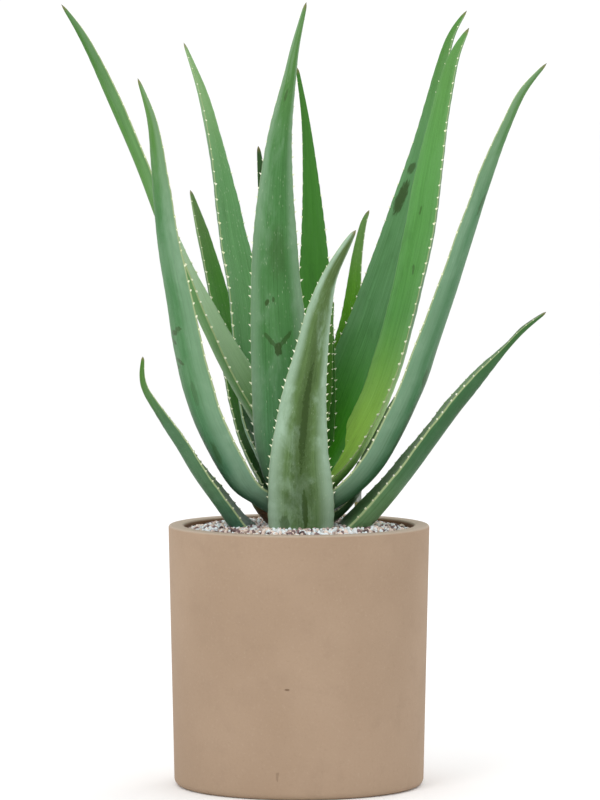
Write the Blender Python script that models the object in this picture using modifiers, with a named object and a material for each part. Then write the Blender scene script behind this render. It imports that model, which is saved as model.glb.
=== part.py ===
"""Potted aloe: a tapered planter, its soil and gravel, a short stem, seventeen leaves and a label."""
from math import cos, pi, radians, sin

import bmesh
import bpy
from mathutils import Vector

MM = 0.001

# planter, millimetres
POT_HEIGHT = 250
POT_TOP_RADIUS = 125
POT_FOOT_RADIUS = 119.5
POT_WALL = 15
POT_FLOOR = 15
RIM_ROUND = 2.5
FOOT_ROUND = 7
TURNS = 64

# fill and dressing
FIT_GAP = 0.3
SOIL_TOP = 235
GRAVEL_EDGE = 242
GRAVEL_CROWN = 247

# stem, from its buried end up
STEM = ((0, 206), (13, 208), (16.5, 214), (17, 246), (13, 268), (9, 290), (4.5, 306), (0, 309))

# label
LABEL_WIDTH = 6.7
LABEL_THICK = 1.0
LABEL_TOP = 282
LABEL_FOOT = 205
LABEL_PLACE = (57, 42)

# leaf lofts
STATIONS = 22
AROUND = 12
LEAST_HALF_WIDTH = 0.7
TOP_BULGE = 0.1
BACK_BULGE = 0.9

# every leaf: spine rows from foot to tip (x, y, height, width), bearing it leans to at foot and
# tip in degrees, thickness at the foot, depth of the channel; inner leaves first
LEAVES = (
    ("leaf_back_right_small", ((6, 15, 298, 20), (12, 26, 322, 24), (21, 40, 364, 22),
                               (26, 50, 412, 15), (30, 56, 444, 8), (33, 58, 461, 1)), (75, 75), 8, 0.16),
    ("leaf_back_centre", ((4, 18, 287, 42), (7, 32, 309, 48), (10, 48, 346, 50), (13, 64, 403, 44),
                          (15, 78, 460, 34), (14.3, 89, 518, 25), (11.3, 97, 576, 16),
                          (6.2, 102, 635, 8), (-2, 105, 687, 1)), (90, 90), 11, 0.16),
    ("leaf_left_tall", ((-8, 4, 297, 40), (-20, 2, 331, 50), (-43, 1, 368, 52), (-75, 4, 423, 48),
                        (-117, 8, 512, 34), (-149, 10, 593, 27), (-174, 11, 650, 22),
                        (-194, 13, 693, 17), (-210, 15, 722, 11), (-227, 15, 747, 1)),
     (138, 213), 15, 0.16),
    ("leaf_centre_tall", ((-4, -10, 264, 34), (-7, -19, 284, 44), (-11, -30, 308, 54),
                          (-15, -39, 342, 57), (-19, -52, 428, 54), (-22, -58, 483, 47),
                          (-22.5, -63, 529, 41), (-21.5, -67, 570, 33), (-17.5, -72, 622, 23),
                          (-8, -76, 679, 12), (-3, -78, 707, 8), (7, -80, 748, 1)), (270, 270), 14, 0.16),
    ("leaf_right_back_tall", ((12, 14, 290, 40), (26, 36, 319, 50), (41, 54, 356, 58),
                              (55.5, 68, 394, 59), (70, 80, 432, 56), (97, 95, 518, 43),
                              (120.5, 104, 606, 26), (131, 107, 649, 19), (143.5, 109, 701, 12),
                              (151.5, 109, 723, 8), (163.5, 110, 742, 1)), (60, 48), 12, 0.16),
    ("leaf_back_left_tall", ((-12, 13, 285, 46), (-26, 28, 314, 56), (-39, 42, 349, 57),
                             (-48, 62, 418, 52), (-53.5, 74, 461, 49), (-65.5, 88, 518, 40),
                             (-75.5, 100, 576, 28), (-84.5, 108, 620, 19), (-95.5, 114, 664, 12),
                             (-112.5, 120, 711, 1)), (143, 143), 12, 0.16),
    ("leaf_right_tall", ((14, 3, 280, 44), (34, 8, 299, 50), (51, 13, 322, 54), (77, 24, 372, 50),
                         (97, 34, 434, 46), (117, 43, 520, 42), (126, 47, 577, 36),
                         (136, 52, 635, 23), (149, 56, 693, 14), (164, 58, 725, 1)), (22, 56), 13, 0.16),
    ("leaf_right_broad", ((21, -8, 269, 46), (51, -22, 290, 57), (77, -35, 321, 59),
                          (107, -52, 382, 55), (122, -62, 425, 48), (141.5, -73, 482, 40),
                          (159.5, -83, 538, 30), (178.5, -92, 595, 21), (195.5, -99, 637, 15),
                          (210, -104, 666, 11), (231, -110, 691, 1)), (350, 339), 15, 0.16),
    ("leaf_back_left_low", ((-15, 18, 262, 36), (-26, 34, 288, 42), (-40, 50, 316, 44),
                            (-51, 68, 345, 41), (-62, 84, 388, 36), (-74, 100, 440, 29),
                            (-85.5, 112, 488, 21), (-97, 122, 532, 13), (-106.5, 130, 567, 1)),
     (138, 138), 12, 0.16),
    ("leaf_back_right_low", ((14, 18, 262, 34), (24, 44, 290, 40), (32, 62, 322, 40),
                             (37, 79, 364, 36), (46, 98, 411, 28), (51.7, 112, 445, 20),
                             (54.7, 122, 473, 15), (57.7, 130, 502, 11), (63.2, 137, 532, 7),
                             (69, 140, 547, 1)), (60, 60), 10, 0.16),
    ("leaf_left_broad", ((-15, -4, 265, 46), (-39, -15, 281, 54), (-59.5, -28, 299, 60),
                         (-88, -54, 355, 58), (-104, -72, 411, 51), (-114, -86, 468, 41),
                         (-124, -98, 525, 30), (-131, -108, 587, 20), (-137.5, -114, 637, 12),
                         (-150, -120, 677, 1)), (189, 218), 17, 0.16),
    ("leaf_back_slim", ((-3, 20, 250, 30), (-6, 50, 282, 34), (-9, 74, 320, 36), (-14, 92, 370, 34),
                        (-20, 107, 425, 30), (-27, 121, 490, 20), (-34, 132, 546, 11),
                        (-37, 137, 580, 8), (-40, 140, 610, 1)), (100, 100), 10, 0.16),
    ("leaf_right_hidden", ((18, 7, 252, 30), (34, 13, 260, 38), (51, 20, 278, 38), (65, 26, 306, 32),
                           (79, 30, 338, 22), (94, 33, 368, 10), (102, 34, 384, 1)), (15, 15), 10, 0.16),
    ("leaf_front", ((2, -32, 232, 54), (2, -40, 250, 62), (2, -47, 272, 63), (1, -56, 297, 60),
                    (1, -67, 324, 54), (5, -84, 374, 43), (12.7, -99, 422, 31), (19.5, -110, 458, 24),
                    (29, -120, 491, 15), (44.2, -128, 521, 9), (53, -130, 536, 1)), (270, 275), 14, 0.16),
    ("leaf_right_low", ((28, -6, 226, 42), (54, -14, 251, 50), (80, -23, 280, 47),
                        (103, -31, 309, 43), (124.5, -39, 338, 37), (146, -47, 367, 32),
                        (171, -55, 397, 24), (184, -58, 411, 17), (197, -62, 425, 11),
                        (212, -66, 441, 10), (233, -70, 457, 1)), (10, 4), 19, 0.16),
    ("leaf_left_low", ((-28, -8, 226, 36), (-54, -18, 249, 43), (-73, -28, 275, 41),
                       (-94, -38, 304, 34), (-111, -47, 332, 26), (-130.5, -57, 361, 18),
                       (-144, -64, 382, 12), (-148, -68, 397, 8), (-147, -72, 415, 1)),
     (166, 192), 15, 0.16),
    ("leaf_left_stub", ((-20, 4, 246, 24), (-30, 0, 256, 26), (-39, -4, 266, 20), (-45, -6, 275, 3)),
     (190, 190), 7, 0.16),
)

# colour (linear), roughness
FINISHES = {
    "pot": ((0.42, 0.31, 0.22), 0.8),
    "soil": ((0.05, 0.035, 0.025), 0.95),
    "gravel": ((0.55, 0.52, 0.5), 0.85),
    "stem": ((0.09, 0.05, 0.03), 0.9),
    "label": ((0.7, 0.72, 0.7), 0.4),
    "leaf": ((0.08, 0.22, 0.08), 0.45),
}


def clear_scene():
    for thing in list(bpy.data.objects):
        bpy.data.objects.remove(thing)


def collection(name):
    made = bpy.data.collections.new(name)
    bpy.context.scene.collection.children.link(made)
    return made


def finish(thing, kind):
    colour, roughness = FINISHES[kind]
    material = bpy.data.materials.new(thing.name + "_surface")
    material.use_nodes = True
    shader = material.node_tree.nodes["Principled BSDF"]
    shader.inputs["Base Color"].default_value = (*colour, 1)
    shader.inputs["Roughness"].default_value = roughness
    shader.inputs["Metallic"].default_value = 0
    thing.data.materials.append(material)


def add_mesh(name, points, faces, home):
    mesh = bpy.data.meshes.new(name)
    mesh.from_pydata([Vector(p) * MM for p in points], [], faces)
    thing = bpy.data.objects.new(name, mesh)
    home.objects.link(thing)
    return thing


def fillet(corner, before, after, radius, steps=4):
    """Points of the round that replaces one corner of a turned profile."""
    here = Vector(corner)
    back = (Vector(before) - here).normalized()
    ahead = (Vector(after) - here).normalized()
    half = back.angle(ahead) / 2
    centre = here + (back + ahead).normalized() * radius / sin(half)
    reach = radius * cos(half) / sin(half)
    first = (here + back * reach - centre) / radius
    last = (here + ahead * reach - centre) / radius
    return [tuple(centre + first.slerp(last, step / steps) * radius) for step in range(steps + 1)]


def turned(name, profile, home):
    """A closed body turned about the upright axis from (radius, height) points."""
    points = [(radius, 0, height) for radius, height in profile]
    mesh = bpy.data.meshes.new(name)
    mesh.from_pydata([Vector(p) * MM for p in points], [(i, i + 1) for i in range(len(points) - 1)], [])
    thing = bpy.data.objects.new(name, mesh)
    home.objects.link(thing)
    screw = thing.modifiers.new("turn", "SCREW")
    screw.axis = "Z"
    screw.steps = TURNS
    screw.render_steps = TURNS
    screw.use_merge_vertices = True
    screw.merge_threshold = 0.00005
    screw.use_normal_calculate = True
    return thing


def spine_points(rows, count):
    """Smooth curve through the rows, resampled at equal steps of length."""
    first = rows[0] * 2 - rows[1]
    last = rows[-1] * 2 - rows[-2]
    knots = [first, *rows, last]
    fine = []
    for index in range(1, len(knots) - 2):
        a, b, c, d = knots[index - 1:index + 3]
        for part in range(16):
            t = part / 16
            fine.append((b * 2 + (c - a) * t + (a * 2 - b * 5 + c * 4 - d) * t ** 2
                         + (b * 3 - a - c * 3 + d) * t ** 3) * 0.5)
    fine.append(rows[-1])
    travelled = [0.0]
    for previous, current in zip(fine, fine[1:]):
        travelled.append(travelled[-1] + (current.xyz - previous.xyz).length)
    picked = []
    index = 0
    for step in range(count):
        want = travelled[-1] * step / (count - 1)
        while index < len(fine) - 2 and travelled[index + 1] < want:
            index += 1
        span = travelled[index + 1] - travelled[index]
        share = min(max((want - travelled[index]) / span, 0), 1)
        picked.append(fine[index].lerp(fine[index + 1], share))
    return picked


def blade(name, spec, home, grow=0.0):
    """Loft a leaf of crescent section along its spine; grow swells it evenly."""
    rows, bearings, thick, channel = spec
    spine = spine_points([Vector(row) for row in rows], STATIONS)
    points = []
    for station, place in enumerate(spine):
        share = station / (STATIONS - 1)
        ahead = spine[min(station + 1, STATIONS - 1)].xyz - spine[max(station - 1, 0)].xyz
        ahead.normalize()
        bearing = radians(bearings[0] + (bearings[1] - bearings[0]) * share)
        inward = Vector((-cos(bearing), -sin(bearing), 1))
        inward = (inward - ahead * inward.dot(ahead)).normalized()
        side = ahead.cross(inward)
        half = max(place.w / 2, LEAST_HALF_WIDTH)
        depth = min(thick * (1 - 0.45 * share), half * 0.95)
        dish = channel * (1 - 0.3 * share) * half
        centre = place.xyz
        if station == 0:
            centre = centre - ahead * grow
        if station == STATIONS - 1:
            centre = centre + ahead * grow
        for corner in range(AROUND):
            turn = 2 * pi * (corner + 0.5) / AROUND
            across = cos(turn)
            lift = sin(turn)
            bulge = TOP_BULGE if lift > 0 else BACK_BULGE
            up = dish * (across ** 2 - 0.5) + depth * (bulge * lift + 0.35)
            spread = grow * across
            rise = grow if lift > 0 else -grow
            points.append(centre + side * (half * across + spread) + inward * (up + rise))
    faces = []
    for station in range(STATIONS - 1):
        for corner in range(AROUND):
            a = station * AROUND + corner
            b = station * AROUND + (corner + 1) % AROUND
            faces.append((a, a + AROUND, b + AROUND, b))
    faces.append(tuple(range(AROUND)))
    faces.append(tuple(range(STATIONS * AROUND - 1, (STATIONS - 1) * AROUND - 1, -1)))
    return add_mesh(name, points, faces, home)


def cut(thing, cutter):
    """Take one cutter away from a body."""
    boolean = thing.modifiers.new("clear_" + cutter.name, "BOOLEAN")
    boolean.operation = "DIFFERENCE"
    boolean.solver = "EXACT"
    boolean.object = cutter


def as_cutter(thing):
    thing.hide_render = True
    thing.display_type = "WIRE"
    return thing


def boxes_meet(one, other):
    spans = []
    for thing in (one, other):
        places = [vertex.co for vertex in thing.data.vertices]
        spans.append([(min(p[k] for p in places), max(p[k] for p in places)) for k in range(3)])
    return all(a[0] < b[1] and b[0] < a[1] for a, b in zip(*spans))


def box_points(width, thick, low, high, place):
    x, y = place
    return [(x + sx * width / 2, y + sy * thick / 2, z)
            for z in (low, high) for sx, sy in ((-1, -1), (1, -1), (1, 1), (-1, 1))]


BOX_FACES = ((3, 2, 1, 0), (4, 5, 6, 7), (0, 1, 5, 4), (1, 2, 6, 5), (2, 3, 7, 6), (3, 0, 4, 7))


def build():
    clear_scene()
    home = collection("potted_aloe")
    shop = collection("cutters")

    # planter: from the middle of its floor up the inside, over the rim and down the outside
    inner_top = POT_TOP_RADIUS - POT_WALL
    inner_foot = POT_FOOT_RADIUS - POT_WALL
    inside = (inner_top, POT_HEIGHT)
    outside = (POT_TOP_RADIUS, POT_HEIGHT)
    heel = (POT_FOOT_RADIUS, 0)
    well = (inner_foot, POT_FLOOR)
    profile = [(0, POT_FLOOR), well]
    profile += fillet(inside, well, outside, RIM_ROUND)
    profile += fillet(outside, inside, heel, RIM_ROUND)
    profile += fillet(heel, outside, (0, 0), FOOT_ROUND)
    profile.append((0, 0))
    pot = turned("pot", profile, home)
    finish(pot, "pot")

    # soil follows the inside of the planter with a small gap
    def inner_radius(height):
        share = (height - POT_FLOOR) / (POT_HEIGHT - POT_FLOOR)
        return inner_foot + (inner_top - inner_foot) * share - FIT_GAP

    low = POT_FLOOR + FIT_GAP
    soil = turned("soil", [(0, SOIL_TOP), (inner_radius(SOIL_TOP), SOIL_TOP),
                           (inner_radius(low), low), (0, low)], home)
    finish(soil, "soil")

    # gravel dressing, slightly heaped to the middle
    bed = SOIL_TOP + FIT_GAP
    gravel = turned("gravel", [(0, GRAVEL_CROWN), (60, GRAVEL_CROWN), (95, GRAVEL_CROWN - 1),
                               (inner_radius(GRAVEL_EDGE), GRAVEL_EDGE), (inner_radius(bed), bed),
                               (0, bed)], home)
    finish(gravel, "gravel")

    stem = turned("stem", [(radius, height) for radius, height in reversed(STEM)], home)
    finish(stem, "stem")
    swollen = [(radius + FIT_GAP if radius else 0, height) for radius, height in reversed(STEM)]
    swollen[0] = (0, STEM[-1][1] + FIT_GAP)
    swollen[-1] = (0, STEM[0][1] - FIT_GAP)
    stem_cutter = as_cutter(turned("cutter_stem", swollen, shop))

    # leaves from the middle outwards, every one cleared for the ones inside it
    inner = []
    leaves = []
    for name, rows, bearings, thick, channel in LEAVES:
        spec = (rows, bearings, thick, channel)
        leaf = blade(name, spec, home)
        finish(leaf, "leaf")
        cut(leaf, stem_cutter)
        for other in inner:
            if boxes_meet(leaf, other):
                cut(leaf, other)
        inner.append(as_cutter(blade("cutter_" + name, spec, shop, FIT_GAP)))
        leaves.append(leaf)

    label = add_mesh("label", box_points(LABEL_WIDTH, LABEL_THICK, LABEL_FOOT, LABEL_TOP, LABEL_PLACE),
                     BOX_FACES, home)
    finish(label, "label")
    label_cutter = as_cutter(add_mesh(
        "cutter_label", box_points(LABEL_WIDTH + 2 * FIT_GAP, LABEL_THICK + 2 * FIT_GAP,
                                   LABEL_FOOT - FIT_GAP, LABEL_TOP + FIT_GAP, LABEL_PLACE), BOX_FACES, shop))

    # the fill makes room for everything standing in it
    for fill in (soil, gravel):
        cut(fill, stem_cutter)
        cut(fill, label_cutter)
        for other in inner:
            if min(vertex.co.z for vertex in other.data.vertices) < GRAVEL_CROWN * MM:
                cut(fill, other)


build()
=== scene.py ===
from math import cos, pi, radians, sin

import bpy
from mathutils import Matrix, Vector


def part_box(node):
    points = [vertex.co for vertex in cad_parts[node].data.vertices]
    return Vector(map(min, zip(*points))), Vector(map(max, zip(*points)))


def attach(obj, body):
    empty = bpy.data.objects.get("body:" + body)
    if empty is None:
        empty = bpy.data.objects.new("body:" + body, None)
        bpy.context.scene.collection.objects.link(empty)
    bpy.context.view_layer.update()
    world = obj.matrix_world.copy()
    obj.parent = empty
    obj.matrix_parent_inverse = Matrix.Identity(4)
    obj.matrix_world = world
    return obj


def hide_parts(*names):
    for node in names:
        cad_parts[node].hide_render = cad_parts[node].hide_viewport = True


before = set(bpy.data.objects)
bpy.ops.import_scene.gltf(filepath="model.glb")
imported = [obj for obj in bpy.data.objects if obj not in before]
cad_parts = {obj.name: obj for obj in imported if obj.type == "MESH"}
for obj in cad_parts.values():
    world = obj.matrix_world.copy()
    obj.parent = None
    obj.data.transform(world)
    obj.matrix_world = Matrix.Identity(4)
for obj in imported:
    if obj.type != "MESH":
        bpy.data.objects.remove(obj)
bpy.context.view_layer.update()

MM = 0.001

# ---------------------------------------------------------------- sizes in millimetres, counts and ratios

pot_low, pot_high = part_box("pot")
POT_HEIGHT = pot_high[2] / MM
POT_TOP_RADIUS = pot_high[0] / MM
POT_FOOT_RADIUS = 119.5
POT_WALL = 15
POT_FLOOR = 15
RIM_ROUND = 2.5
FOOT_ROUND = 7
POT_TURNS = 160
POT_SEAM_WELD = 0.05
POT_SHARP_ANGLE = 50

# heights and distances from the middle between which the pot's colour changes: the painted highlight on the
# rim top, and the painted shade on the inside wall
RIM_HIGHLIGHT_HEIGHT = (247.8, 249.6)
INSIDE_SHADE_RADIUS = (113.5, 110.5)
INSIDE_SHADE_HEIGHT = (249.8, 247.0)

# a pit in the clay is a short dash, this much flatter in height than across
PIT_STRETCH = (1.0, 1.0, 2.4)

BED_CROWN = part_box("gravel")[1][2] / MM
BED_EDGE_DROP = 5
BED_FLAT_RADIUS = 80
STONE_RADIUS = 2.8
STONE_SPACING = 3.3
STONE_LUMP = 0.5
STONE_SPIN = 6.28
BED_RADIUS = POT_TOP_RADIUS - POT_WALL - STONE_RADIUS

# each layer of stones: its height over the bed, and how far its stones are tossed up
STONE_LAYERS = ((-0.6, 1.0), (0.8, 1.8))

BLADE_STATIONS = 130
BLADE_AROUND = 44
BLADE_CHANNEL = 0.16
BLADE_WAVE = 1.2
BLADE_WELD = 0.02
MARGIN_SCALLOP = 0.2
SPINE_POINTS = 160
TOOTH_LENGTH = 3.0
TOOTH_RADIUS = 1.15
TOOTH_POINT_RADIUS = 0.08
TOOTH_SUNK = 0.6
TOOTH_LEAN = 0.65
LAST_TOOTH = 0.975

# lower and upper edge of the label's plain patch, each with its soft border
PATCH_FOOT = (262.5, 263.5)
PATCH_TOP = (268.5, 267.5)


# ---------------------------------------------------------------- node graphs

class Wire:
    """A socket that can be used in arithmetic; every step adds its Math node to the graph."""

    def __init__(self, graph, socket):
        self.graph = graph
        self.socket = socket

    def __add__(self, other):
        return self.graph.math("ADD", self, other)

    def __sub__(self, other):
        return self.graph.math("SUBTRACT", self, other)

    def __rsub__(self, other):
        return self.graph.math("SUBTRACT", other, self)

    def __mul__(self, other):
        return self.graph.math("MULTIPLY", self, other)

    def __truediv__(self, other):
        return self.graph.math("DIVIDE", self, other)

    def __neg__(self):
        return self.graph.math("MULTIPLY", self, -1)

    def __lt__(self, other):
        return self.graph.math("LESS_THAN", self, other)

    def __gt__(self, other):
        return self.graph.math("GREATER_THAN", self, other)

    __radd__ = __add__
    __rmul__ = __mul__


class Graph:
    """Builds the nodes of one shader or geometry tree."""

    def __init__(self, tree):
        self.tree = tree

    def make(self, kind, settings=None, inputs=None, out=0):
        """Add a node, set it up, feed its sockets and return one of its outputs."""
        node = self.tree.nodes.new(kind)
        for key, value in (settings or {}).items():
            if key == "stops":
                self.set_stops(node.color_ramp, value)
            else:
                setattr(node, key, value)
        for key, value in (inputs or {}).items():
            self.feed(self.find(node.inputs, key), value)
        return Wire(self, self.find(node.outputs, out))

    @staticmethod
    def set_stops(ramp, stops):
        while len(ramp.elements) > 1:
            ramp.elements.remove(ramp.elements[-1])
        for index, (place, colour) in enumerate(stops):
            element = ramp.elements[0] if index == 0 else ramp.elements.new(place)
            element.position = place
            element.color = (*colour, 1) if len(colour) == 3 else colour

    @staticmethod
    def find(sockets, key):
        if isinstance(key, int):
            return sockets[key]
        named = [socket for socket in sockets if socket.identifier == key]
        named = named or [socket for socket in sockets if socket.name == key and socket.enabled]
        return named[0]

    def feed(self, socket, value):
        if isinstance(value, Wire):
            self.tree.links.new(value.socket, socket)
        elif value is not None:
            socket.default_value = value

    def math(self, operation, *values):
        return self.make("ShaderNodeMath", {"operation": operation}, dict(enumerate(values)))

    def vector(self, operation, *values, out=0):
        return self.make("ShaderNodeVectorMath", {"operation": operation}, dict(enumerate(values)), out)

    def scaled(self, vector, factor):
        return self.make("ShaderNodeVectorMath", {"operation": "SCALE"}, {0: vector, "Scale": factor})

    def join(self, x, y, z):
        return self.make("ShaderNodeCombineXYZ", {}, {0: x, 1: y, 2: z})

    def split(self, vector):
        first = self.make("ShaderNodeSeparateXYZ", {}, {0: vector})
        return [Wire(self, socket) for socket in first.socket.node.outputs]

    def smooth(self, value, low, high):
        return self.make("ShaderNodeMapRange", {"interpolation_type": "SMOOTHSTEP"},
                         {"Value": value, "From Min": low, "From Max": high})

    def smooth_mm(self, value, ends):
        """A smooth step between two distances given in millimetres."""
        return self.smooth(value, ends[0] * MM, ends[1] * MM)

    def blend(self, factor, one, other, mode="MIX"):
        return self.make("ShaderNodeMix", {"data_type": "RGBA", "blend_type": mode, "clamp_factor": True},
                         {"Factor_Float": factor, "A_Color": one, "B_Color": other}, "Result_Color")

    def tinted(self, factor, body, tint):
        """The body colour, multiplied by a tint where the factor is high."""
        return self.blend(factor, body, self.blend(1.0, body, (*tint, 1), "MULTIPLY"))

    def place(self):
        """Where a point of the surface is on the object."""
        return self.make("ShaderNodeTexCoord", {}, {}, "Object")

    def random(self, low, high, seed):
        return self.make("FunctionNodeRandomValue", {"data_type": "FLOAT"},
                         {"Min_001": low, "Max_001": high, "Seed": seed}, "Value_001")

    def random_vector(self, low, high, seed):
        return self.make("FunctionNodeRandomValue", {"data_type": "FLOAT_VECTOR"},
                         {"Min": low, "Max": high, "Seed": seed}, "Value")

    def noise(self, vector, scale, detail=3.0, roughness=0.5, distortion=0.0):
        return self.make("ShaderNodeTexNoise", {}, {"Vector": vector, "Scale": scale, "Detail": detail,
                                                    "Roughness": roughness, "Distortion": distortion})


# the bright room lifts every surface, so each colour is made this much darker than it is to look
ROOM_GAIN = 0.78
SCREEN_WHITE = 255


def colour(red, green, blue):
    """A surface colour, linear, from how it looks in the bright room on the usual screen scale of 255."""
    channels = [value / SCREEN_WHITE for value in (red, green, blue)]
    linear = [c / 12.92 if c <= 0.04045 else ((c + 0.055) / 1.055) ** 2.4 for c in channels]
    return (*[ROOM_GAIN * c for c in linear], 1)


BLOOM_AND_SHEEN = colour(176, 206, 178)
RUBBED = colour(46, 74, 12)
FLECK = colour(206, 222, 186)
MARGIN_LINE = colour(190, 206, 150)
DRY_POINT = colour(140, 124, 76)

# tints that darken or lift the green of a leaf
CLOUD_TINT = (0.55, 0.62, 0.5)
DARK_STREAK_TINT = (0.45, 0.58, 0.36)
PALE_STREAK_TINT = (1.6, 1.45, 1.6)
GRAIN_TINT = (0.6, 0.68, 0.55)
FIBRE_TINT = (0.55, 0.66, 0.5)
SCUFF_TINT = (0.45, 0.55, 0.35)


def surface(name):
    """A new material with its graph and its Principled shader."""
    material = bpy.data.materials.new(name)
    material.use_nodes = True
    graph = Graph(material.node_tree)
    shader = material.node_tree.nodes["Principled BSDF"]
    return material, graph, shader


def set_shader(graph, shader, **values):
    for key, value in values.items():
        graph.feed(shader.inputs[key.replace("_", " ")], value)


def bump(graph, height, distance, strength=1.0):
    return graph.make("ShaderNodeBump", {},
                      {"Height": height, "Distance": distance, "Strength": strength}, "Normal")


# ---------------------------------------------------------------- materials

def leaf_skin(name, outer, inner, foot, tip, bloom_and_sheen, flecks, marks, seed):
    """Waxy leaf skin: outer and inner face colours, foot and tip, bloom with a painted rim highlight at the
    margins, streaks, flecks and rubbed marks.
    """
    material, g, shader = surface(name)
    uv = g.make("ShaderNodeUVMap", {"uv_map": "skin"})
    along, around, _ = g.split(uv)
    across = g.math("COSINE", around * (2 * pi))
    edge = g.math("ABSOLUTE", across)
    is_inner = around < 0.5
    is_outer = 1 - is_inner
    place = g.place()
    streak = g.noise(g.join(along * 4, across * 20 + is_inner * 9, seed), 1.0, 5, 0.68)
    fibre = g.noise(g.join(along * 16, across * 80 + is_inner * 7, seed), 1.0, 3, 0.6)
    cloud = g.noise(g.join(along * 10, across * 1.3 + is_inner * 5, seed), 0.9, 5, 0.62, 0.4)
    patch = g.noise(g.join(along * 26, across * 2.6 + is_inner * 3, seed + 4), 1.0, 5, 0.7, 0.8)
    scuff = g.noise(g.join(along * 90, across * 13 + is_inner * 3, seed + 8), 1.0, 4, 0.75, 1.2)
    grain = g.noise(place, 320, 4, 0.7)

    body = g.blend(is_inner, outer, inner)
    body = g.blend(g.smooth(along, 0.42, 0.08) * 0.9, body, foot)
    body = g.blend(g.smooth(along, 0.66, 0.97), body, tip)
    body = g.tinted(g.smooth(cloud, 0.52, 0.75) * 0.45, body, CLOUD_TINT)
    body = g.tinted(g.smooth(streak, 0.46, 0.72) * 0.55, body, DARK_STREAK_TINT)
    body = g.tinted(g.smooth(streak, 0.46, 0.28) * 0.5, body, PALE_STREAK_TINT)
    body = g.tinted(g.smooth(grain, 0.5, 0.75) * 0.25, body, GRAIN_TINT)
    waxy = g.smooth(cloud, 0.55, 0.3) * bloom_and_sheen * (is_outer * 0.6 + 0.4)
    # pale band towards both margins: partly the waxy bloom, partly a painted rim highlight
    edge_bloom_and_highlight = g.smooth(edge, 0.45, 0.92) * bloom_and_sheen * (is_outer * 0.7 + 0.3)
    body = g.blend(waxy * 0.34 + edge_bloom_and_highlight * 0.62, body, BLOOM_AND_SHEEN)
    body = g.tinted(g.smooth(fibre, 0.5, 0.75) * 0.4, body, FIBRE_TINT)

    # short dark scuffs in loose groups, and pale flecks where the leaf has them
    scuffs = g.smooth(scuff, 0.6, 0.68) * g.smooth(patch, 0.52, 0.62) * 0.5
    body = g.tinted(scuffs, body, SCUFF_TINT)
    if flecks:
        cells = g.make("ShaderNodeTexVoronoi", {"feature": "F1"},
                       {"Vector": g.join(along * 60, across * 12 + is_inner * 3, seed), "Scale": 1.0},
                       "Distance")
        spots = g.smooth(cells, 0.22, 0.1) * g.smooth(patch, 0.42, 0.58) * flecks
        body = g.blend(spots, body, FLECK)

    # rubbed marks: centre along and across, reach along and across, slant, softness, depth
    rubbed = None
    wobble = g.noise(g.join(along * 70, across * 10, seed), 1.0, 5, 0.75, 0.6)
    for m_along, m_across, reach_along, reach_across, slant, soft, depth in marks:
        right = (across - m_across) / reach_across
        ahead = (along - m_along) / reach_along + right * slant
        ragged = (wobble - 0.5) * (3.4 - soft)
        spot = g.smooth(ahead * ahead + right * right + ragged, 1.0 + soft, 0.8 - soft) * depth
        rubbed = spot if rubbed is None else g.math("MAXIMUM", rubbed, spot)
    height = streak * 0.5 + fibre * 0.3 + grain * 0.2 - scuffs * 0.3
    rough = 0.48 + waxy * 0.14 + (streak - 0.5) * 0.14
    if rubbed is not None:
        body = g.blend(rubbed, body, RUBBED)
        rough = rough - rubbed * 0.12
        height = height - rubbed * 0.2

    # pale margin line and the dry point at the end
    body = g.blend(g.smooth(edge, 0.988, 0.998) * 0.75, body, MARGIN_LINE)
    body = g.blend(g.smooth(along, 0.978, 0.996) * 0.7, body, DRY_POINT)
    set_shader(g, shader, Base_Color=body, Roughness=rough, Normal=bump(g, height, 0.0007, 0.6))
    set_shader(g, shader, Specular_IOR_Level=0.24)
    return material


def tooth_horn():
    """Pale horny teeth, some warmer than others."""
    material, g, shader = surface("tooth_horn")
    place = g.place()
    tone = g.noise(place, 90, 2)
    body = g.blend(g.smooth(tone, 0.35, 0.7), (0.98, 0.98, 0.80, 1), (0.90, 0.93, 0.60, 1))
    set_shader(g, shader, Base_Color=body, Roughness=0.4 + tone * 0.1)
    return material


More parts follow.
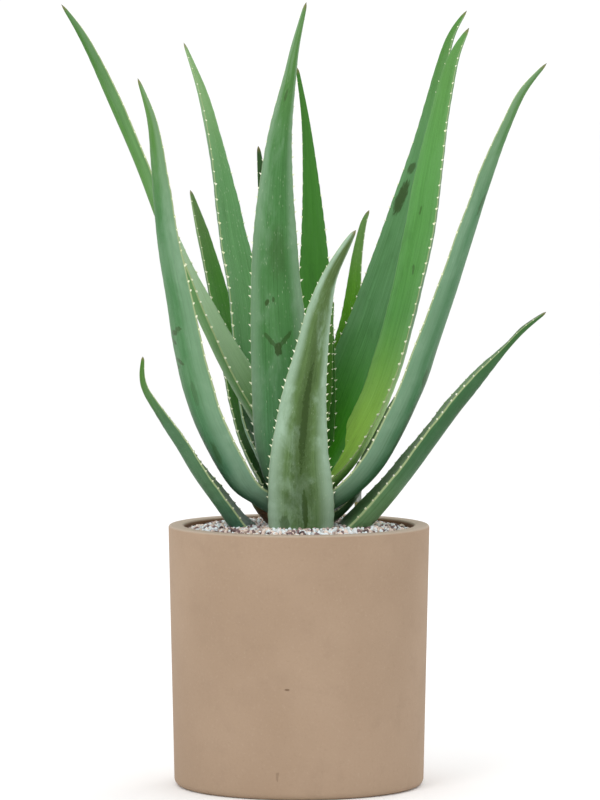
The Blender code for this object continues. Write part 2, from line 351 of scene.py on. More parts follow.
def pot_clay():
    """Matt clay with soft mottling, fine grit and small pits, a painted highlight on the rim top and painted
    shade on the inside wall.
    """
    material, g, shader = surface("pot_clay")
    place = g.place()
    x, y, height = g.split(place)
    broad = g.noise(place, 7, 3, 0.55, 0.3)
    mottle = g.noise(place, 32, 5, 0.65)
    grit = g.noise(place, 420, 4, 0.7)
    body = g.blend(g.smooth(broad, 0.3, 0.7), colour(178, 152, 127), colour(187, 161, 136))
    body = g.blend(g.smooth(mottle, 0.5, 0.75) * 0.35, body, colour(168, 143, 120))
    body = g.blend(g.smooth(grit, 0.55, 0.8) * 0.35, body, colour(150, 126, 103))
    body = g.blend(g.smooth(grit, 0.45, 0.25) * 0.3, body, colour(206, 184, 160))
    reach_out = g.math("SQRT", x * x + y * y)
    # painted highlight: the top of the rim is made paler where the light falls on it
    body = g.blend(g.smooth_mm(height, RIM_HIGHLIGHT_HEIGHT) * 0.7, body, colour(206, 190, 172))
    # painted shade: the inside wall under the rim is darkened to a deep brown
    inside_shade = g.smooth_mm(reach_out, INSIDE_SHADE_RADIUS) * g.smooth_mm(height, INSIDE_SHADE_HEIGHT)
    body = g.blend(inside_shade * 0.9, body, colour(120, 80, 46))
    flaws = g.noise(place, 70, 2, 0.4, 0.8)
    pits = g.smooth(flaws, 0.8, 0.83) * 0.4
    for x, z, size in POT_PITS:
        front = Vector((x, -((POT_FOOT_RADIUS + 1.5) ** 2 - x * x) ** 0.5, z)) * MM
        offset = g.vector("MULTIPLY", g.vector("SUBTRACT", place, tuple(front)), PIT_STRETCH)
        reach = g.vector("LENGTH", offset, out="Value")
        pits = g.math("MAXIMUM", pits, g.smooth(reach + (grit - 0.5) * 0.0016, size * MM, size * MM * 0.5))
    body = g.blend(pits * 0.75, body, colour(112, 86, 62))
    height_map = mottle * 0.3 + grit * 0.25 - pits * 0.8
    set_shader(g, shader, Base_Color=body, Roughness=0.78 + grit * 0.12)
    set_shader(g, shader, Normal=bump(g, height_map, 0.0007, 0.6), Specular_IOR_Level=0.3)
    return material


# pits on the front of the pot: across, height, reach
POT_PITS = ((-11, 105, 3.2), (-113, 106, 1.2), (106, 128, 1.0), (113, 128, 1.0), (111, 109, 1.0),
            (-34, 121, 0.9), (-91, 139, 0.9), (-24, 145, 1.0), (64, 167, 0.9), (-25, 14, 1.0),
            (-43, 25, 1.0), (-71, 27, 0.9), (82, 28, 0.9), (81, 37, 0.9), (-62, 104, 1.0))


def soil_mix():
    material, g, shader = surface("soil_mix")
    place = g.place()
    crumbs = g.noise(place, 180, 5, 0.7)
    body = g.blend(g.smooth(crumbs, 0.4, 0.7), colour(44, 34, 27), colour(86, 68, 54))
    set_shader(g, shader, Base_Color=body, Roughness=0.95, Normal=bump(g, crumbs, 0.002))
    return material


def bed_shadow():
    """The bed under the loose stones, seen only between them."""
    material, g, shader = surface("bed_shadow")
    place = g.place()
    chips = g.make("ShaderNodeTexVoronoi", {"feature": "F1"}, {"Vector": place, "Scale": 260}, "Color")
    tone, _, _ = g.split(chips)
    body = g.blend(g.smooth(tone, 0.3, 0.8), colour(70, 50, 44), colour(120, 96, 84))
    set_shader(g, shader, Base_Color=body, Roughness=0.9, Normal=bump(g, tone, 0.0015))
    return material


def stone_chips():
    """Loose stones: each takes one of the dressing's colours from its own tone."""
    material, g, shader = surface("stone_chips")
    tone = g.make("ShaderNodeAttribute", {"attribute_name": "tone"}, {}, "Fac")
    place = g.place()
    speckle = g.noise(place, 900, 3, 0.6)
    body = g.make("ShaderNodeValToRGB", {"stops": (
        (0.0, (0.84, 0.92, 0.95, 1)), (0.24, (0.78, 0.80, 0.81, 1)), (0.36, (0.86, 0.71, 0.62, 1)),
        (0.55, (0.72, 0.58, 0.50, 1)), (0.68, (0.50, 0.38, 0.34, 1)), (0.78, (0.22, 0.14, 0.14, 1)),
        (0.88, (0.10, 0.06, 0.06, 1)), (0.94, (0.90, 0.93, 0.94, 1)))}, {"Fac": tone}, "Color")
    body.socket.node.color_ramp.interpolation = "CONSTANT"
    body = g.blend(g.smooth(speckle, 0.45, 0.8) * 0.2, body, colour(120, 108, 102))
    set_shader(g, shader, Base_Color=body, Roughness=0.7, Normal=bump(g, speckle, 0.0003, 0.5))
    return material


def stem_fibre():
    material, g, shader = surface("stem_fibre")
    place = g.place()
    x, y, z = g.split(place)
    turn = g.math("ARCTAN2", y, x)
    rings = g.noise(g.join(turn * 2, z * 260, 0), 1.0, 4, 0.6)
    strands = g.noise(g.join(turn * 18, z * 30, 2), 1.0, 3, 0.6)
    body = g.blend(g.smooth(rings, 0.35, 0.7), colour(58, 38, 27), colour(122, 88, 62))
    body = g.blend(g.smooth(strands, 0.5, 0.8) * 0.6, body, colour(86, 52, 36))
    set_shader(g, shader, Base_Color=body, Roughness=0.85, Normal=bump(g, rings + strands, 0.0015))
    return material


def label_film():
    """Thin milky strip with a plain yellow patch low on its face."""
    material, g, shader = surface("label_film")
    place = g.place()
    _, _, z = g.split(place)
    haze = g.noise(place, 60, 2)
    patch = g.smooth_mm(z, PATCH_FOOT) * g.smooth_mm(z, PATCH_TOP)
    body = g.blend(g.smooth(haze, 0.3, 0.7), colour(228, 230, 229), colour(240, 241, 240))
    body = g.blend(patch * 0.8, body, colour(214, 190, 90))
    set_shader(g, shader, Base_Color=body, Roughness=0.35, Alpha=0.72 + patch * 0.2)
    return material


def pale_floor():
    material, g, shader = surface("pale_floor")
    set_shader(g, shader, Base_Color=(0.96, 0.96, 0.96, 1), Roughness=1.0)
    return material


# ---------------------------------------------------------------- geometry trees

def add_object(name, data):
    thing = bpy.data.objects.new(name, data)
    bpy.context.scene.collection.objects.link(thing)
    return thing


def new_tree(name, sockets):
    """A geometry tree with named inputs, and its graph, its inputs by name and its output node."""
    tree = bpy.data.node_groups.new(name, "GeometryNodeTree")
    for label, kind, default in sockets:
        socket = tree.interface.new_socket(label, in_out="INPUT", socket_type=kind)
        if default is not None:
            socket.default_value = default
    tree.interface.new_socket("Geometry", in_out="OUTPUT", socket_type="NodeSocketGeometry")
    graph = Graph(tree)
    group_in = tree.nodes.new("NodeGroupInput")
    inputs = {socket.name: Wire(graph, socket) for socket in group_in.outputs if socket.name}
    return tree, graph, inputs, tree.nodes.new("NodeGroupOutput")


def run_tree(thing, tree, values):
    """Evaluate a tree on an object and return the plain mesh object that it makes."""
    modifier = thing.modifiers.new("tree", "NODES")
    modifier.node_group = tree
    identifiers = {item.name: item.identifier for item in tree.interface.items_tree if item.in_out == "INPUT"}
    for label, value in values.items():
        modifier[identifiers[label]] = value
    bpy.context.view_layer.update()
    evaluated = thing.evaluated_get(bpy.context.evaluated_depsgraph_get())
    mesh = bpy.data.meshes.new_from_object(evaluated)
    name = thing.name
    source = thing.data
    bpy.data.objects.remove(thing)
    if source.users == 0:
        (bpy.data.curves if isinstance(source, bpy.types.Curve) else bpy.data.meshes).remove(source)
    mesh.name = name
    return add_object(name, mesh)


def blade_tree():
    """A leaf of crescent section along a spine curve whose point radius is the half width, with its teeth."""
    tree, g, given, output = new_tree("blade", (
        ("Spine", "NodeSocketGeometry", None),
        ("Stations", "NodeSocketInt", BLADE_STATIONS), ("Around", "NodeSocketInt", BLADE_AROUND),
        ("Bearing foot", "NodeSocketFloat", 0.0), ("Bearing tip", "NodeSocketFloat", 0.0),
        ("Thickness", "NodeSocketFloat", 0.014), ("Channel", "NodeSocketFloat", BLADE_CHANNEL),
        ("Teeth", "NodeSocketInt", 30), ("Tooth length", "NodeSocketFloat", TOOTH_LENGTH * MM),
        ("Tooth radius", "NodeSocketFloat", TOOTH_RADIUS * MM), ("First tooth", "NodeSocketFloat", 0.1),
        ("Wave", "NodeSocketFloat", BLADE_WAVE * MM), ("Bare margin", "NodeSocketFloat", 0.0),
        ("Seed", "NodeSocketInt", 1),
        ("Skin", "NodeSocketMaterial", None), ("Horn", "NodeSocketMaterial", None)))
    smooth = g.make("GeometryNodeCurveSplineType", {"spline_type": "CATMULL_ROM"}, {"Curve": given["Spine"]})
    spine = g.make("GeometryNodeResampleCurve", {}, {"Curve": smooth, "Count": SPINE_POINTS})
    radius = g.make("GeometryNodeInputRadius")
    seed = given["Seed"]
    teeth = given["Teeth"]

    def section(share, across, lift):
        """Point on the blade, with its side and forward directions."""
        sample = g.make("GeometryNodeSampleCurve",
                        {"mode": "FACTOR", "data_type": "FLOAT", "use_all_curves": True},
                        {"Curves": spine, "Value": radius, "Factor": share}, "Value")
        outputs = sample.socket.node.outputs
        centre = Wire(g, outputs["Position"])
        ahead = Wire(g, outputs["Tangent"])
        bearing = given["Bearing foot"] + (given["Bearing tip"] - given["Bearing foot"]) * share
        upright = g.join(-g.math("COSINE", bearing), -g.math("SINE", bearing), 1.0)
        lean = g.vector("DOT_PRODUCT", upright, ahead, out="Value")
        inward = g.vector("NORMALIZE", g.vector("SUBTRACT", upright, g.scaled(ahead, lean)))
        side = g.vector("CROSS_PRODUCT", ahead, inward)
        ends = g.math("MINIMUM", share / 0.004, (1 - share) / 0.012)
        closing = g.math("SQRT", g.math("MINIMUM", g.math("MAXIMUM", ends, 0.0), 1.0))
        ripple = g.make("ShaderNodeTexNoise", {"noise_dimensions": "2D"},
                        {"Vector": g.join(share * 9, seed * 3.7, 0), "Scale": 1.0, "Detail": 2.0})
        toothed = (share - given["First tooth"]) / (1 - given["First tooth"])
        scallop = g.math("COSINE", toothed * teeth * (2 * pi) - pi)
        half = (sample + scallop * (MARGIN_SCALLOP * MM) * g.smooth(sample, 0.003, 0.012)) * closing
        depth = g.math("MINIMUM", given["Thickness"] * (1 - share * 0.45), half * 0.95)
        dish = given["Channel"] * (1 - share * 0.3) * half
        bulge = g.math("MULTIPLY_ADD", lift > 0.0, -0.8, 0.9)
        wave = (ripple - 0.5) * given["Wave"] * 2 * across * g.smooth(sample, 0.002, 0.012)
        rise = dish * (across * across - 0.5) + depth * (bulge * lift + 0.35) + wave
        offset = g.vector("ADD", g.scaled(side, half * across), g.scaled(inward, rise))
        point = g.vector("ADD", centre, offset)
        return point, side, ahead, sample

    grid = g.make("GeometryNodeMeshGrid", {}, {"Size X": 1.0, "Size Y": 1.0, "Vertices X": given["Stations"],
                                               "Vertices Y": given["Around"]}, "Mesh")
    place = g.make("GeometryNodeInputPosition")
    share, turn, _ = g.split(place)
    share = share + 0.5
    turn = turn + 0.5
    skinned = g.make("GeometryNodeStoreNamedAttribute", {"data_type": "FLOAT2", "domain": "CORNER"},
                     {"Geometry": grid, "Name": "skin", "Value": g.join(share, turn, 0)})
    point, _, _, _ = section(share, g.math("COSINE", turn * (2 * pi)), g.math("SINE", turn * (2 * pi)))
    shaped = g.make("GeometryNodeSetPosition", {}, {"Geometry": skinned, "Position": point})
    closed = g.make("GeometryNodeMergeByDistance", {}, {"Geometry": shaped, "Distance": BLADE_WELD * MM})
    closed = g.make("GeometryNodeFlipFaces", {}, {"Mesh": closed})
    closed = g.make("GeometryNodeSetShadeSmooth", {}, {"Geometry": closed})
    blade = g.make("GeometryNodeSetMaterial", {}, {"Geometry": closed, "Material": given["Skin"]})

    # teeth: one point for each, taking turns on the two margins
    count = g.make("GeometryNodePoints", {}, {"Count": teeth * 2})
    index = g.make("GeometryNodeInputIndex")
    number = g.math("FLOOR", index * 0.5)
    margin = g.math("MODULO", index, 2.0) * 2 - 1
    jitter = g.random(-0.22, 0.22, seed)
    start = given["First tooth"]
    where = start + (1 - start) * (number + 0.5 + jitter) / teeth * LAST_TOOTH
    root, side, ahead, half = section(where, margin, 0.0)
    point_out = g.vector("ADD", g.scaled(side, margin), g.scaled(ahead, TOOTH_LEAN))
    turned_to = g.make("FunctionNodeAlignRotationToVector", {"axis": "Z"}, {"Vector": point_out})
    cone = g.make("GeometryNodeMeshCone", {"fill_type": "TRIANGLE_FAN"},
                  {"Vertices": 6, "Radius Top": TOOTH_POINT_RADIUS * MM,
                   "Radius Bottom": given["Tooth radius"], "Depth": given["Tooth length"],
                   "Side Segments": 1, "Fill Segments": 1}, "Mesh")
    sunk = g.make("GeometryNodeTransform", {}, {"Geometry": cone, "Translation": (0, 0, -TOOTH_SUNK * MM)})
    size = g.random(0.75, 1.2, seed + 5) * (0.45 + 0.55 * g.smooth(half, 0.003, 0.018))
    # the smooth margin keeps teeth only towards the point
    worn = (margin * given["Bare margin"] > 0.0) * g.smooth(where, 0.9, 0.8)
    size = size * (1 - worn)
    placed = g.make("GeometryNodeSetPosition", {}, {"Geometry": count, "Position": root})
    spread = g.make("GeometryNodeInstanceOnPoints", {}, {"Points": placed, "Selection": worn < 0.999,
                                                         "Instance": sunk, "Rotation": turned_to,
                                                         "Scale": g.join(size, size, size)})
    real = g.make("GeometryNodeRealizeInstances", {}, {"Geometry": spread})
    horns = g.make("GeometryNodeSetMaterial", {}, {"Geometry": real, "Material": given["Horn"]})
    both = g.make("GeometryNodeJoinGeometry", {}, {"Geometry": horns})
    tree.links.new(blade.socket, both.socket.node.inputs[0])
    tree.links.new(both.socket, output.inputs[0])
    return tree


def stones_tree():
    """Loose stones scattered over the bed, heaped a little to the middle."""
    tree, g, given, output = new_tree("stones", (
        ("Geometry", "NodeSocketGeometry", None), ("Bed radius", "NodeSocketFloat", BED_RADIUS * MM),
        ("Spacing", "NodeSocketFloat", STONE_SPACING * MM),
        ("Stone radius", "NodeSocketFloat", STONE_RADIUS * MM),
        ("Crown", "NodeSocketFloat", BED_CROWN * MM), ("Edge drop", "NodeSocketFloat", BED_EDGE_DROP * MM),
        ("Flat radius", "NodeSocketFloat", BED_FLAT_RADIUS * MM), ("Seed", "NodeSocketInt", 4),
        ("Stone", "NodeSocketMaterial", None)))
    disc = g.make("GeometryNodeMeshCircle", {"fill_type": "TRIANGLE_FAN"},
                  {"Vertices": 96, "Radius": given["Bed radius"]})
    seed = given["Seed"]
    x, y, _ = g.split(g.make("GeometryNodeInputPosition"))
    reach = g.math("SQRT", x * x + y * y)
    fall = g.smooth(reach, given["Flat radius"], given["Bed radius"]) * given["Edge drop"]
    lump = STONE_LUMP * MM
    layers = []
    for layer, (lift, loose) in enumerate(STONE_LAYERS):
        spots = g.make("GeometryNodeDistributePointsOnFaces", {"distribute_method": "POISSON"},
                       {"Mesh": disc, "Distance Min": given["Spacing"], "Density Max": 200000.0,
                        "Seed": seed + layer * 11}, "Points")
        toss = g.random(0.0, loose * MM, seed + 20 + layer)
        height = given["Crown"] - fall + lift * MM + toss
        raised = g.make("GeometryNodeSetPosition", {}, {"Geometry": spots, "Position": g.join(x, y, height)})
        rock = g.make("GeometryNodeMeshIcoSphere", {},
                      {"Radius": given["Stone radius"], "Subdivisions": 1}, "Mesh")
        shape = g.random_vector((-lump, -lump, -lump), (lump, lump, lump), 3 + layer)
        rock = g.make("GeometryNodeSetPosition", {}, {"Geometry": rock, "Offset": shape})
        spin = g.random_vector((0, 0, 0), (STONE_SPIN, STONE_SPIN, STONE_SPIN), seed + 31 + layer)
        stretch = g.random_vector((0.45, 0.45, 0.35), (1.25, 1.15, 0.9), seed + 41 + layer)
        laid = g.make("GeometryNodeInstanceOnPoints", {}, {"Points": raised, "Instance": rock,
                                                           "Rotation": spin, "Scale": stretch})
        tone = g.random(0.0, 1.0, seed + 51 + layer)
        layers.append(g.make("GeometryNodeStoreNamedAttribute", {"data_type": "FLOAT", "domain": "INSTANCE"},
                             {"Geometry": laid, "Name": "tone", "Value": tone}))
    both = g.make("GeometryNodeJoinGeometry", {}, {"Geometry": layers[0]})
    tree.links.new(layers[1].socket, both.socket.node.inputs[0])
    real = g.make("GeometryNodeRealizeInstances", {}, {"Geometry": both})
    done = g.make("GeometryNodeSetMaterial", {}, {"Geometry": real, "Material": given["Stone"]})
    tree.links.new(done.socket, output.inputs[0])
    return tree


# ---------------------------------------------------------------- leaves

INNER = colour(98, 150, 78)
TIP = colour(108, 152, 76)

# spine rows from foot to tip (x, y, height, width), bearing at foot and tip, thickness, number of
# teeth on a margin, share where the teeth start
LEAVES = {
    "leaf_back_right_small": (
        ((6, 15, 298, 20), (12, 26, 322, 24), (21, 40, 364, 22), (26, 50, 412, 15),
         (30, 56, 444, 8), (33, 58, 461, 3)),
        (75, 75), 8, 18, 0.1),
    "leaf_back_centre": (
        ((4, 18, 287, 42), (7, 32, 309, 48), (10, 48, 346, 50), (13, 64, 403, 44),
         (15, 78, 460, 34), (14.3, 89, 518, 25), (11.3, 97, 576, 16), (6.2, 102, 635, 8),
         (-2, 105, 687, 3)),
        (90, 90), 11, 30, 0.1),
    "leaf_left_tall": (
        ((-8, 4, 297, 40), (-20, 2, 331, 50), (-43, 1, 368, 52), (-75, 4, 423, 48),
         (-117, 8, 512, 34), (-149, 10, 593, 27), (-174, 11, 650, 22), (-194, 13, 693, 17),
         (-210, 15, 722, 11), (-227, 15, 747, 3)),
        (138, 213), 15, 34, 0.06),
    "leaf_centre_tall": (
        ((-4, -10, 264, 34), (-7, -19, 284, 44), (-11, -30, 308, 54), (-15, -39, 342, 57),
         (-19, -52, 428, 54), (-22, -58, 483, 47), (-22.5, -63, 529, 41), (-21.5, -67, 570, 33),
         (-17.5, -72, 622, 23), (-8, -76, 679, 12), (-3, -78, 707, 8), (7, -80, 748, 3)),
        (270, 270), 14, 32, 0.12),
    "leaf_right_back_tall": (
        ((12, 14, 290, 40), (26, 36, 319, 50), (41, 54, 356, 58), (55.5, 68, 394, 59),
         (70, 80, 432, 56), (97, 95, 518, 43), (120.5, 104, 606, 26), (131, 107, 649, 19),
         (143.5, 109, 701, 12), (151.5, 109, 723, 8), (163.5, 110, 742, 3)),
        (60, 48), 12, 34, 0.06),
    "leaf_back_left_tall": (
        ((-12, 13, 285, 46), (-26, 28, 314, 56), (-39, 42, 349, 57), (-48, 62, 418, 52),
         (-53.5, 74, 461, 49), (-65.5, 88, 518, 40), (-75.5, 100, 576, 28), (-84.5, 108, 620, 19),
         (-95.5, 114, 664, 12), (-112.5, 120, 711, 3)),
        (143, 143), 12, 32, 0.06),
    "leaf_right_tall": (
        ((14, 3, 280, 44), (34, 8, 299, 50), (51, 13, 322, 54), (77, 24, 372, 50),
         (97, 34, 434, 46), (117, 43, 520, 42), (126, 47, 577, 36), (136, 52, 635, 23),
         (149, 56, 693, 14), (164, 58, 725, 3)),
        (22, 56), 13, 34, 0.08),
    "leaf_right_broad": (
        ((21, -8, 269, 46), (51, -22, 290, 57), (77, -35, 321, 59), (107, -52, 382, 55),
         (122, -62, 425, 48), (141.5, -73, 482, 40), (159.5, -83, 538, 30), (178.5, -92, 595, 21),
         (195.5, -99, 637, 15), (210, -104, 666, 11), (231, -110, 691, 4)),
        (350, 339), 15, 36, 0.06),
    "leaf_back_left_low": (
        ((-15, 18, 262, 36), (-26, 34, 288, 42), (-40, 50, 316, 44), (-51, 68, 345, 41),
         (-62, 84, 388, 36), (-74, 100, 440, 29), (-85.5, 112, 488, 21), (-97, 122, 532, 13),
         (-106.5, 130, 567, 3)),
        (138, 138), 12, 26, 0.06),
    "leaf_back_right_low": (
        ((14, 18, 262, 34), (24, 44, 290, 40), (32, 62, 322, 40), (37, 79, 364, 36),
         (46, 98, 411, 28), (51.7, 112, 445, 20), (54.7, 122, 473, 15), (57.7, 130, 502, 11),
         (63.2, 137, 532, 7), (69, 140, 547, 3)),
        (60, 60), 10, 26, 0.1),
    "leaf_left_broad": (
        ((-15, -4, 265, 46), (-39, -15, 281, 54), (-59.5, -28, 299, 60), (-88, -54, 355, 58),
         (-104, -72, 411, 51), (-114, -86, 468, 41), (-124, -98, 525, 30), (-131, -108, 587, 20),
         (-137.5, -114, 637, 12), (-150, -120, 677, 3)),
        (189, 218), 17, 34, 0.06),
    "leaf_back_slim": (
        ((-3, 20, 250, 30), (-6, 50, 282, 34), (-9, 74, 320, 36), (-14, 92, 370, 34),
         (-20, 107, 425, 30), (-27, 121, 490, 20), (-34, 132, 546, 11), (-37, 137, 580, 8),
         (-40, 140, 610, 3)),
        (100, 100), 10, 26, 0.1),
    "leaf_right_hidden": (
        ((18, 7, 252, 30), (34, 13, 260, 38), (51, 20, 278, 38), (65, 26, 306, 32),
         (79, 30, 338, 22), (94, 33, 368, 10), (102, 34, 384, 3)),
        (15, 15), 10, 16, 0.1),
    "leaf_front": (
        ((2, -32, 232, 54), (2, -40, 250, 62), (2, -47, 272, 63), (1, -56, 297, 60),
         (1, -67, 324, 54), (5, -84, 374, 43), (12.7, -99, 422, 31), (19.5, -110, 458, 24),
         (29, -120, 491, 15), (44.2, -128, 521, 9), (53, -130, 536, 3)),
        (270, 275), 14, 28, 0.14),
    "leaf_right_low": (
        ((28, -6, 226, 42), (54, -14, 251, 50), (80, -23, 280, 47), (103, -31, 309, 43),
         (124.5, -39, 338, 37), (146, -47, 367, 32), (171, -55, 397, 24), (184, -58, 411, 17),
         (197, -62, 425, 11), (212, -66, 441, 10), (233, -70, 457, 4)),
        (10, 4), 19, 24, 0.14),
    "leaf_left_low": (
        ((-28, -8, 226, 36), (-54, -18, 249, 43), (-73, -28, 275, 41), (-94, -38, 304, 34),
         (-111, -47, 332, 26), (-130.5, -57, 361, 18), (-144, -64, 382, 12), (-148, -68, 397, 8),
         (-147, -72, 415, 4)),
        (166, 192), 15, 18, 0.16),
    "leaf_left_stub": (
        ((-20, 4, 246, 24), (-30, 0, 256, 26), (-39, -4, 266, 20), (-45, -6, 275, 3)),
        (190, 190), 7, 5, 0.2),
}

# a leaf with one smooth margin, and which one: 1 or -1, as the teeth count their two margins
BARE_MARGINS = {"leaf_right_tall": -1.0}

# finish of each leaf: outer face, inner face, foot, tip, waxy bloom with its painted rim highlight, flecks,
# rubbed marks
FINISHES = {
    "leaf_front": (
        colour(98, 130, 72), INNER, colour(112, 144, 94), colour(86, 112, 56), 1.4, 0.25,
        ((0.42, -0.02, 0.36, 0.34, 0.0, 0.8, 0.55), (0.43, -0.05, 0.19, 0.17, 0.0, 0.4, 0.95),
         (0.13, -0.12, 0.07, 0.09, 0.0, 0.2, 0.8), (0.18, -0.1, 0.05, 0.38, 0.1, 0.8, 0.5),
         (0.16, 0.2, 0.035, 0.32, -0.2, 0.8, 0.4), (0.08, 0.5, 0.03, 0.16, 0.0, 0.3, 0.5))),
    "leaf_centre_tall": (
        colour(78, 136, 72), INNER, colour(88, 146, 96), colour(90, 142, 66), 0.6, 0.35,
        ((0.335, 0.02, 0.014, 0.14, 0.0, 0.1, 0.85), (0.352, -0.24, 0.007, 0.26, 2.2, 0.1, 0.6),
         (0.352, 0.28, 0.007, 0.26, -2.2, 0.1, 0.6), (0.425, 0.35, 0.006, 0.08, 0.4, 0.1, 0.8),
         (0.43, 0.1, 0.006, 0.05, 0.0, 0.1, 0.7), (0.52, -0.1, 0.05, 0.4, 0.0, 0.8, 0.35),
         (0.82, 0.2, 0.012, 0.2, 0.5, 0.2, 0.5))),
    "leaf_left_broad": (
        colour(82, 138, 84), INNER, colour(88, 134, 108), colour(92, 144, 58), 0.5, 0.0,
        ((0.475, 0.0, 0.006, 0.3, 0.6, 0.1, 0.7), (0.455, 0.2, 0.005, 0.25, -0.5, 0.1, 0.7),
         (0.485, -0.3, 0.005, 0.2, 0.4, 0.1, 0.6), (0.415, 0.0, 0.006, 0.3, -0.6, 0.1, 0.7),
         (0.40, 0.3, 0.005, 0.25, 0.5, 0.1, 0.6), (0.35, -0.45, 0.03, 0.12, 0.0, 0.3, 0.3),
         (0.21, -0.4, 0.03, 0.14, 0.2, 0.3, 0.5))),
    "leaf_right_broad": (
        colour(86, 138, 94), INNER, colour(86, 130, 98), colour(92, 142, 70), 0.4, 0.0,
        ((0.70, 0.3, 0.02, 0.2, 0.6, 0.2, 0.5), (0.40, -0.2, 0.012, 0.2, 0.5, 0.2, 0.5),
         (0.34, 0.1, 0.02, 0.25, -0.5, 0.2, 0.45), (0.24, 0.1, 0.06, 0.12, 0.5, 0.3, 0.45))),
    "leaf_right_low": (
        colour(42, 98, 46), INNER, colour(132, 176, 120), colour(36, 100, 8), 0.08, 0.0,
        ((0.60, 0.1, 0.035, 0.4, 0.3, 0.3, 0.6), (0.44, 0.1, 0.03, 0.3, -0.3, 0.3, 0.5),
         (0.17, 0.45, 0.008, 0.12, 0.0, 0.1, 0.9))),
    "leaf_left_low": (
        colour(62, 112, 66), INNER, colour(54, 108, 92), colour(70, 124, 10), 0.15, 0.15,
        ((0.72, -0.2, 0.03, 0.3, 0.3, 0.3, 0.5),)),
    "leaf_left_tall": (
        colour(86, 146, 56), colour(176, 214, 164), colour(86, 144, 50), colour(70, 126, 46), 0.25,
        0.0,
        ()),
    "leaf_back_left_tall": (
        colour(80, 130, 76), colour(104, 166, 98), colour(64, 130, 74), colour(140, 186, 116), 0.35,
        0.8,
        ()),
    "leaf_back_left_low": (
        colour(66, 112, 56), colour(94, 170, 56), colour(60, 106, 50), TIP, 0.15, 0.5,
        ()),
    # the back centre and back slim leaves are darker green for the shade they stand in behind the centre
    # leaf: painted shade
    "leaf_back_centre": (
        colour(66, 118, 44), colour(64, 134, 36), colour(62, 132, 26), colour(66, 128, 40), 0.1, 0.0,
        ()),
    "leaf_back_slim": (
        colour(48, 88, 38), colour(46, 88, 32), colour(44, 84, 24), colour(48, 88, 36), 0.1, 0.0,
        ()),
    "leaf_back_right_low": (
        colour(72, 122, 30), colour(98, 172, 10), colour(76, 132, 20), TIP, 0.1, 0.5,
        ()),
    "leaf_back_right_small": (
        colour(76, 124, 40), colour(80, 136, 30), colour(76, 132, 20), TIP, 0.1, 0.0,
        ()),
    "leaf_right_back_tall": (
        colour(70, 120, 56), colour(100, 158, 98), colour(74, 168, 4), colour(88, 150, 58), 0.4, 0.0,
        ((0.61, 0.5, 0.035, 0.34, 0.3, 0.2, 0.85), (0.61, -0.5, 0.035, 0.34, -0.3, 0.2, 0.85),
         (0.67, 0.4, 0.012, 0.3, 0.3, 0.2, 0.7), (0.67, -0.4, 0.012, 0.3, -0.3, 0.2, 0.7))),
    # its foot is the leaf's own yellow-green, pushed brighter to lift the shade at its base: partly painted
    # light
    "leaf_right_tall": (
        colour(84, 132, 76), colour(102, 172, 84), colour(200, 252, 108), colour(100, 160, 76),
        0.35, 0.0,
        ((0.5, 0.1, 0.01, 0.1, 0.6, 0.2, 0.5), (0.62, -0.2, 0.008, 0.1, -0.6, 0.2, 0.5))),
    "leaf_right_hidden": (
        colour(64, 104, 56), colour(90, 136, 56), colour(60, 98, 50), TIP, 0.1, 0.0,
        ()),
    "leaf_left_stub": (
        colour(112, 84, 60), colour(96, 120, 60), colour(104, 66, 46), TIP, 0.0, 0.0,
        ()),
}


def spine_curve(name, rows):
    """A poly curve through the rows, its point radius holding half the leaf's width in metres."""
    data = bpy.data.curves.new(name, "CURVE")
    data.dimensions = "3D"
    spline = data.splines.new("POLY")
    spline.points.add(len(rows) - 1)
    for point, (x, y, z, width) in zip(spline.points, rows):
        point.co = (x * MM, y * MM, z * MM, 1)
        point.radius = width / 2 * MM
    return add_object(name, data)


def make_leaves():
    tree = blade_tree()
    horn = tooth_horn()
    for number, (name, (rows, bearings, thick, teeth, first)) in enumerate(LEAVES.items()):
        outer, inner, foot, tip, bloom_and_sheen, flecks, marks = FINISHES[name]
        skin = leaf_skin(name + "_skin", outer, inner, foot, tip, bloom_and_sheen, flecks, marks, number * 7.3)
        piece = run_tree(spine_curve(name + "_blade", rows), tree, {
            "Stations": BLADE_STATIONS, "Around": BLADE_AROUND, "Bearing foot": radians(bearings[0]),
            "Bearing tip": radians(bearings[1]), "Thickness": thick * MM, "Teeth": teeth,
            "First tooth": first,
            "Bare margin": BARE_MARGINS.get(name, 0.0), "Seed": number, "Skin": skin,
            "Horn": horn})
        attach(piece, "root")
        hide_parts(name)


# ---------------------------------------------------------------- planter and dressing

def fillet(corner, before, after, radius, steps=8):
    """Points of the round that replaces one corner of a turned profile."""
    here = Vector(corner)
    back = (Vector(before) - here).normalized()
    ahead = (Vector(after) - here).normalized()
    half = back.angle(ahead) / 2
    centre = here + (back + ahead).normalized() * radius / sin(half)
    reach = radius * cos(half) / sin(half)
    first = (here + back * reach - centre) / radius
    last = (here + ahead * reach - centre) / radius
    return [tuple(centre + first.slerp(last, step / steps) * radius) for step in range(steps + 1)]


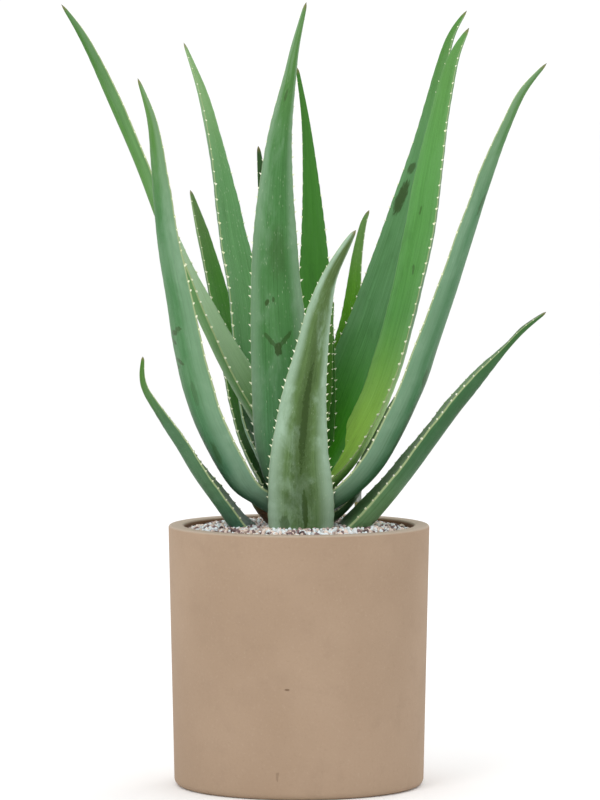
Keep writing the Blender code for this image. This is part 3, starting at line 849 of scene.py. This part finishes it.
def make_planter():
    inner_top = POT_TOP_RADIUS - POT_WALL
    inner_foot = POT_FOOT_RADIUS - POT_WALL
    inside = (inner_top, POT_HEIGHT)
    outside = (POT_TOP_RADIUS, POT_HEIGHT)
    heel = (POT_FOOT_RADIUS, 0)
    well = (inner_foot, POT_FLOOR)
    profile = [(0, POT_FLOOR), well]
    profile += fillet(inside, well, outside, RIM_ROUND)
    profile += fillet(outside, inside, heel, RIM_ROUND)
    profile += fillet(heel, outside, (0, 0), FOOT_ROUND)
    profile.append((0, 0))
    mesh = bpy.data.meshes.new("planter_profile")
    edges = [(i, i + 1) for i in range(len(profile) - 1)]
    mesh.from_pydata([(r * MM, 0, z * MM) for r, z in profile], edges, [])
    thing = add_object("planter", mesh)
    screw = thing.modifiers.new("turn", "SCREW")
    screw.steps = POT_TURNS
    screw.render_steps = POT_TURNS
    screw.use_merge_vertices = True
    screw.merge_threshold = POT_SEAM_WELD * MM
    screw.use_normal_calculate = True
    screw.use_smooth_shade = True
    evaluated = thing.evaluated_get(bpy.context.evaluated_depsgraph_get())
    turned = bpy.data.meshes.new_from_object(evaluated)
    bpy.data.objects.remove(thing)
    piece = add_object("planter", turned)
    turned.shade_smooth()
    turned.set_sharp_from_angle(angle=radians(POT_SHARP_ANGLE))
    turned.materials.clear()
    turned.materials.append(pot_clay())
    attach(piece, "root")
    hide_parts("pot")


def make_stones():
    thing = add_object("loose_stones", bpy.data.meshes.new("stones_seed"))
    piece = run_tree(thing, stones_tree(), {
        "Bed radius": BED_RADIUS * MM, "Crown": BED_CROWN * MM,
        "Edge drop": BED_EDGE_DROP * MM, "Flat radius": BED_FLAT_RADIUS * MM, "Stone": stone_chips()})
    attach(piece, "root")


def dress_kept_nodes():
    """New finishes for the nodes that keep their own shape."""
    for node, material in (("soil", soil_mix()), ("gravel", bed_shadow()), ("stem", stem_fibre()),
                           ("label", label_film())):
        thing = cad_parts[node]
        if not thing.material_slots:
            thing.data.materials.append(material)
        for slot in thing.material_slots:
            slot.material = material


# ---------------------------------------------------------------- room, light and camera

FLOOR_REACH = 60
ROOM_LIGHT = 1.06
AIM = (0, 0, 0.4)


def add_light(name, place, size, power):
    data = bpy.data.lights.new(name, "AREA")
    data.shape = "DISK"
    data.size = size
    data.energy = power
    thing = add_object(name, data)
    thing.location = place
    thing.rotation_euler = (Vector(AIM) - Vector(place)).to_track_quat("-Z", "Y").to_euler()


def make_room():
    mesh = bpy.data.meshes.new("floor")
    corners = [(x * FLOOR_REACH, y * FLOOR_REACH, 0) for x, y in ((-1, -1), (1, -1), (1, 1), (-1, 1))]
    mesh.from_pydata(corners, [], [(0, 1, 2, 3)])
    mesh.materials.append(pale_floor())
    floor = add_object("floor", mesh)
    world = bpy.data.worlds.new("soft_room")
    bpy.context.scene.world = world
    world.use_nodes = True
    background = world.node_tree.nodes["Background"]
    background.inputs["Color"].default_value = (1, 1, 1, 1)
    background.inputs["Strength"].default_value = ROOM_LIGHT
    add_light("key", (-1.4, -2.6, 2.6), 1.4, 26)
    add_light("back", (1.6, 2.6, 2.2), 1.6, 16)
    bpy.context.scene.view_settings.view_transform = "Standard"


CAMERA_PLACE = (0.001, -5.0, 0.69)
CAMERA_PITCH = 3.67
CAMERA_LENS = 235.8
CAMERA_SENSOR = 36
CAMERA_FAR = 200


def make_camera():
    data = bpy.data.cameras.new("camera")
    data.lens = CAMERA_LENS
    data.sensor_width = CAMERA_SENSOR
    data.clip_end = CAMERA_FAR
    thing = add_object("camera", data)
    thing.location = CAMERA_PLACE
    thing.rotation_euler = (radians(90 - CAMERA_PITCH), 0, 0)
    bpy.context.scene.camera = thing


make_planter()
make_stones()
make_leaves()
dress_kept_nodes()
make_room()
make_camera()
